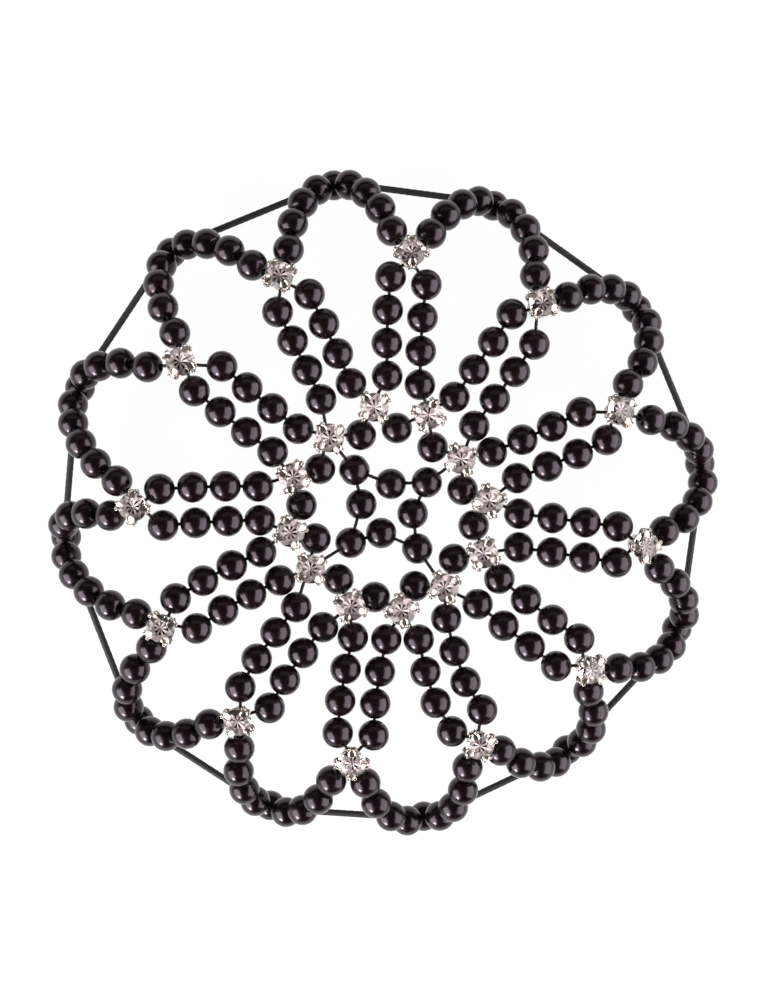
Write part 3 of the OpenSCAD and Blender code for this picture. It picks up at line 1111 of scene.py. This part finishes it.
class BUNNET_OT_spokes(bpy.types.Operator):
    """Strings the twelve spokes, each two rows of beads from an outer setting to two inner settings"""

    bl_idname = "bun_net.spokes"
    bl_label = "Spokes"

    def execute(self, context):
        for k in range(1, PETALS + 1):
            chains = []
            for side in (1, -1):
                beads = spoke_row(k, side)
                inner = inner_at(k if side > 0 else k % PETALS + 1)
                start = short_of(beads[0], outer_at(k), THREAD_STOP)
                chains.append(threaded(beads, start, short_of(beads[-1], inner, THREAD_STOP)))
            string_piece(f"spoke_{k:02d}_strung", chains, f"spoke_{k:02d}")
        return {"FINISHED"}


class BUNNET_OT_ring_beads(bpy.types.Operator):
    """Strings the ring beads, one between each two inner settings"""

    bl_idname = "bun_net.ring_beads"
    bl_label = "Ring Beads"

    def execute(self, context):
        chains = []
        for k in range(1, PETALS + 1):
            bead = ring_at(k)
            ends = [short_of(bead, inner_at(n), THREAD_STOP) for n in (k, k % PETALS + 1)]
            chains.append(threaded([bead], *ends))
        string_piece("ring_beads_strung", chains, "ring_beads")
        return {"FINISHED"}


class BUNNET_OT_centre_beads(bpy.types.Operator):
    """Strings the centre beads in their loop and ties four of them to inner settings"""

    bl_idname = "bun_net.centre_beads"
    bl_label = "Centre Beads"

    def execute(self, context):
        count = len(CENTRE_ROWS)
        points = [centre_at(i) for i in range(count)]
        aims = [(centre_at(i + 1) - centre_at(i + count - 1)).normalized() for i in range(count)]
        chains = [[points, [BEAD] * count, aims, True]]
        for point, (_, _, tied_to) in zip(points, CENTRE_ROWS):
            if tied_to:
                end = short_of(point, inner_at(tied_to), THREAD_STOP)
                chains.append(strung([point, end], [BARE, BARE]))
        string_piece("centre_beads_strung", chains, "centre_beads")
        return {"FINISHED"}


def facing_angles(az, r, turn):
    """Euler angles that stand a setting square on the dome, with a claw at the azimuth turn."""
    turned = (
        Matrix.Rotation(math.radians(az), 3, "Z")
        @ Matrix.Rotation(math.radians(slope_out(r)), 3, "Y")
        @ Matrix.Rotation(math.radians(turn - az), 3, "Z")
    )
    return turned.to_euler("XYZ")


# Rings of settings: the middle of setting k, its azimuth, and the ring's rows
SEATS = {
    "outer": (outer_at, outer_az, OUTER_ROWS),
    "inner": (inner_at, inner_az, INNER_ROWS),
}


def seats_mesh(name, ring):
    """One point for each setting of a ring, with its Euler angles."""
    at, az_of, rows = SEATS[ring]
    places = []
    angles = []
    for k in range(1, PETALS + 1):
        _, r, turn = row(rows, k)
        places.append(at(k) * MM)
        angles += facing_angles(az_of(k), r, turn)
    mesh = bpy.data.meshes.new(name)
    mesh.from_pydata(places, [], [])
    mesh.attributes.new("facing", "FLOAT_VECTOR", "POINT").data.foreach_set("vector", angles)
    return mesh


def shaded_piece(name, verts, faces, painted_shades):
    """Piece with flat facets, each with a shade for its material."""
    made = piece_from(name, verts, faces, smooth=False)
    made.data.attributes.new("shade", "FLOAT", "FACE").data.foreach_set("value", painted_shades)
    return made


def seat_forms(name, ring, form, material, smooth):
    """Piece with the form in each seat of a ring."""
    piece = grown(name, seats_mesh(name, ring), shared_rule(seated_rule, "Seated Forms"), {
        "Form": form, "Material": material, "Seed": len(name),
    }, smooth)
    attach(piece, "root")
    return piece


class BUNNET_OT_settings(bpy.types.Operator):
    """Makes the clawed cups of both rings"""

    bl_idname = "bun_net.settings"
    bl_label = "Settings"

    def execute(self, context):
        form = piece_from("setting_pattern", *setting_parts())
        for ring in SEATS:
            piece = seat_forms(f"{ring}_settings_clawed", ring, form, made_once(metal_finish), True)
            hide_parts(*[f"{ring}_setting_{k:02d}" for k in range(1, PETALS + 1)])
        clear_patterns(form)
        return {"FINISHED"}


class BUNNET_OT_stones(bpy.types.Operator):
    """Cuts the stones of both rings and backs them with foil"""

    bl_idname = "bun_net.stones"
    bl_label = "Stones"

    def execute(self, context):
        radius = context.scene.bun_net_sizes.stone_diameter / 2 / MM
        stone = shaded_piece("stone_pattern", *cut_stone(radius))
        foil = shaded_piece("foil_pattern", *foil_cup(radius))
        for ring in SEATS:
            cut = seat_forms(f"{ring}_stones_cut", ring, stone, made_once(stone_finish), False)
            backing = seat_forms(f"{ring}_stones_foil", ring, foil, made_once(foil_finish), False)
            for piece in (cut, backing):
                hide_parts(f"{ring}_stones")
        clear_patterns(stone, foil)
        return {"FINISHED"}


class BUNNET_OT_elastic(bpy.types.Operator):
    """Braids the elastic through the petals' tip beads"""

    bl_idname = "bun_net.elastic"
    bl_label = "Elastic"

    def execute(self, context):
        points = []
        for k in range(1, PETALS + 1):
            bent = [elastic_point(k, BEND * (1 - 2 * i / (BEND_POINTS - 1))) for i in range(BEND_POINTS)]
            onward = elastic_point(k + 1, BEND)
            straight = [bent[-1].lerp(onward, i / STRAIGHT_POINTS) for i in range(1, STRAIGHT_POINTS)]
            points += bent + straight
        chain = [points, [BARE] * len(points), [Vector((0, 0, 1))] * len(points), True]
        start = points_mesh("elastic", [chain])
        piece = grown("elastic_braided", start, shared_rule(braid_rule, "Braided Elastic"), {
            "Radius": context.scene.bun_net_sizes.elastic_diameter / 2 - STRAND_RELIEF,
            "Strand Relief": STRAND_RELIEF,
            "Material": made_once(elastic_finish),
        })
        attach(piece, "root")
        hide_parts("elastic")
        return {"FINISHED"}


# Half width of the square floor in metres, and how bright the dim room round it is
FLOOR_HALF = 3.0
ROOM_GLOW = 0.05
# Soft panels: azimuth and elevation in degrees, distance, width and height in metres, radiance, colour
LIGHT_ROWS = (
    ("right_panel", -7, 31, 0.7, 1.08, 0.72, 4.3, (1.0, 0.95, 0.98)),
    ("left_panel", 206, 27, 0.7, 0.62, 0.56, 6.6, (1.0, 0.95, 0.98)),
    ("left_flash", 236, 20, 0.68, 0.17, 0.17, 40.0, (1.0, 1.0, 1.0)),
    ("back_fill", 92, 36, 0.7, 1.0, 0.35, 0.35, (1.0, 0.92, 0.9)),
)
# The camera: millimetres a pixel at the crown, distance from it, tilt and its azimuth, the frame's size in
# pixels, the pixel on the net's axis, and the sensor's width
PIXEL_MM = 0.1275
CAMERA_DISTANCE = 350
CAMERA_TILT = 5.3
CAMERA_TILT_AZ = 136
FRAME_W = 771
FRAME_H = 1000
AXIS_PIXEL = (380.3, 506.5)
SENSOR_MM = 36


def lay_floor(low):
    """Square floor at a height."""
    half = FLOOR_HALF
    corners = [(x, y, low) for x, y in ((-half, -half), (half, -half), (half, half), (-half, half))]
    mesh = bpy.data.meshes.new("floor")
    mesh.from_pydata(corners, [], [(0, 1, 2, 3)])
    mesh.materials.append(made_once(floor_finish))
    ground = bpy.data.objects.new("floor", mesh)
    bpy.context.scene.collection.objects.link(ground)


def area_light(name, az, elevation, distance, wide, high, radiance, colour):
    """Soft panel that faces the net."""
    light = bpy.data.lights.new(name, "AREA")
    light.shape = "RECTANGLE"
    light.size = wide
    light.size_y = high
    light.energy = radiance * math.pi * wide * high
    light.color = colour
    holder = bpy.data.objects.new(name, light)
    toward = polar(distance * cosd(elevation), az, distance * sind(elevation))
    holder.location = toward
    holder.rotation_euler = toward.to_track_quat("Z", "Y").to_euler()
    bpy.context.scene.collection.objects.link(holder)


def studio_world(name):
    """Dim rosy room round the net, and past the floor's edge white paper that only the camera sees."""
    world = bpy.data.worlds.new(name)
    world.use_nodes = True
    tree = world.node_tree
    room = tree.nodes["Background"]
    room.inputs["Color"].default_value = (1.0, 0.92, 0.95, 1)
    room.inputs["Strength"].default_value = ROOM_GLOW
    paper = add_node(tree, "ShaderNodeBackground")
    paper.inputs["Color"].default_value = (1, 1, 1, 1)
    paper.inputs["Strength"].default_value = FLOOR_GLOW
    seen = out(add_node(tree, "ShaderNodeLightPath"), "Is Camera Ray")
    mixed = add_node(tree, "ShaderNodeMixShader", {"Fac": seen, 1: out(room), 2: out(paper)})
    tree.links.new(out(mixed), tree.nodes["World Output"].inputs["Surface"])
    return world


def photo_camera(name):
    """Camera at the photograph's angle, which sees the net's axis at the crown in its pixel."""
    tilted = sind(CAMERA_TILT)
    back = Vector((tilted * cosd(CAMERA_TILT_AZ), tilted * sind(CAMERA_TILT_AZ), cosd(CAMERA_TILT)))
    up = Vector((0, 1, 0))
    up = (up - back * up.dot(back)).normalized()
    right = up.cross(back)
    scale_at_axis = PIXEL_MM * (CAMERA_DISTANCE + CROWN_H) / CAMERA_DISTANCE
    shift_right = (AXIS_PIXEL[0] - FRAME_W / 2) * scale_at_axis
    shift_up = -(AXIS_PIXEL[1] - FRAME_H / 2) * scale_at_axis
    at = back * (CAMERA_DISTANCE + CROWN_H) - right * shift_right - up * shift_up
    camera = bpy.data.cameras.new(name)
    camera.sensor_width = SENSOR_MM
    camera.lens = SENSOR_MM * CAMERA_DISTANCE / (FRAME_H * PIXEL_MM)
    camera.clip_start = 0.01
    camera.clip_end = 20
    holder = bpy.data.objects.new(name, camera)
    holder.matrix_world = Matrix((
        (right.x, up.x, back.x, at.x * MM),
        (right.y, up.y, back.y, at.y * MM),
        (right.z, up.z, back.z, at.z * MM),
        (0, 0, 0, 1),
    ))
    bpy.context.scene.collection.objects.link(holder)
    return holder


class BUNNET_OT_stage(bpy.types.Operator):
    """Sets the floor, the soft panels and the camera at the photograph's angle"""

    bl_idname = "bun_net.stage"
    bl_label = "Stage"

    def execute(self, context):
        scene = context.scene
        lay_floor(CAD_BOX[0].z - scene.bun_net_finishes.floor_gap)
        for light_row in LIGHT_ROWS:
            area_light(*light_row)
        scene.world = studio_world("Studio")
        scene.view_settings.view_transform = "Standard"
        scene.camera = photo_camera("camera")
        return {"FINISHED"}


OPERATORS = (
    BUNNET_OT_petals,
    BUNNET_OT_spokes,
    BUNNET_OT_ring_beads,
    BUNNET_OT_centre_beads,
    BUNNET_OT_settings,
    BUNNET_OT_stones,
    BUNNET_OT_elastic,
    BUNNET_OT_stage,
)


class BUNNET_PT_sidebar(bpy.types.Panel):
    """Lists the net's sizes, finishes and pieces"""

    bl_idname = "BUNNET_PT_sidebar"
    bl_label = "Bun Net"
    bl_space_type = "VIEW_3D"
    bl_region_type = "UI"
    bl_category = "Bun Net"

    def draw(self, context):
        layout = self.layout
        for group in (context.scene.bun_net_sizes, context.scene.bun_net_finishes):
            for name in group.__annotations__:
                layout.prop(group, name)
        for operator in OPERATORS:
            layout.operator(operator.bl_idname)


CLASSES = (BunNetSizes, BunNetFinishes, *OPERATORS, BUNNET_PT_sidebar)


def register():
    for cls in CLASSES:
        bpy.utils.register_class(cls)
    bpy.types.Scene.bun_net_sizes = PointerProperty(type=BunNetSizes)
    bpy.types.Scene.bun_net_finishes = PointerProperty(type=BunNetFinishes)


def unregister():
    del bpy.types.Scene.bun_net_finishes
    del bpy.types.Scene.bun_net_sizes
    for cls in reversed(CLASSES):
        bpy.utils.unregister_class(cls)


def main():
    register()
    bpy.ops.bun_net.petals()
    bpy.ops.bun_net.spokes()
    bpy.ops.bun_net.ring_beads()
    bpy.ops.bun_net.centre_beads()
    bpy.ops.bun_net.settings()
    bpy.ops.bun_net.stones()
    bpy.ops.bun_net.elastic()
    bpy.ops.bun_net.stage()


if __name__ == "__main__":
    main()
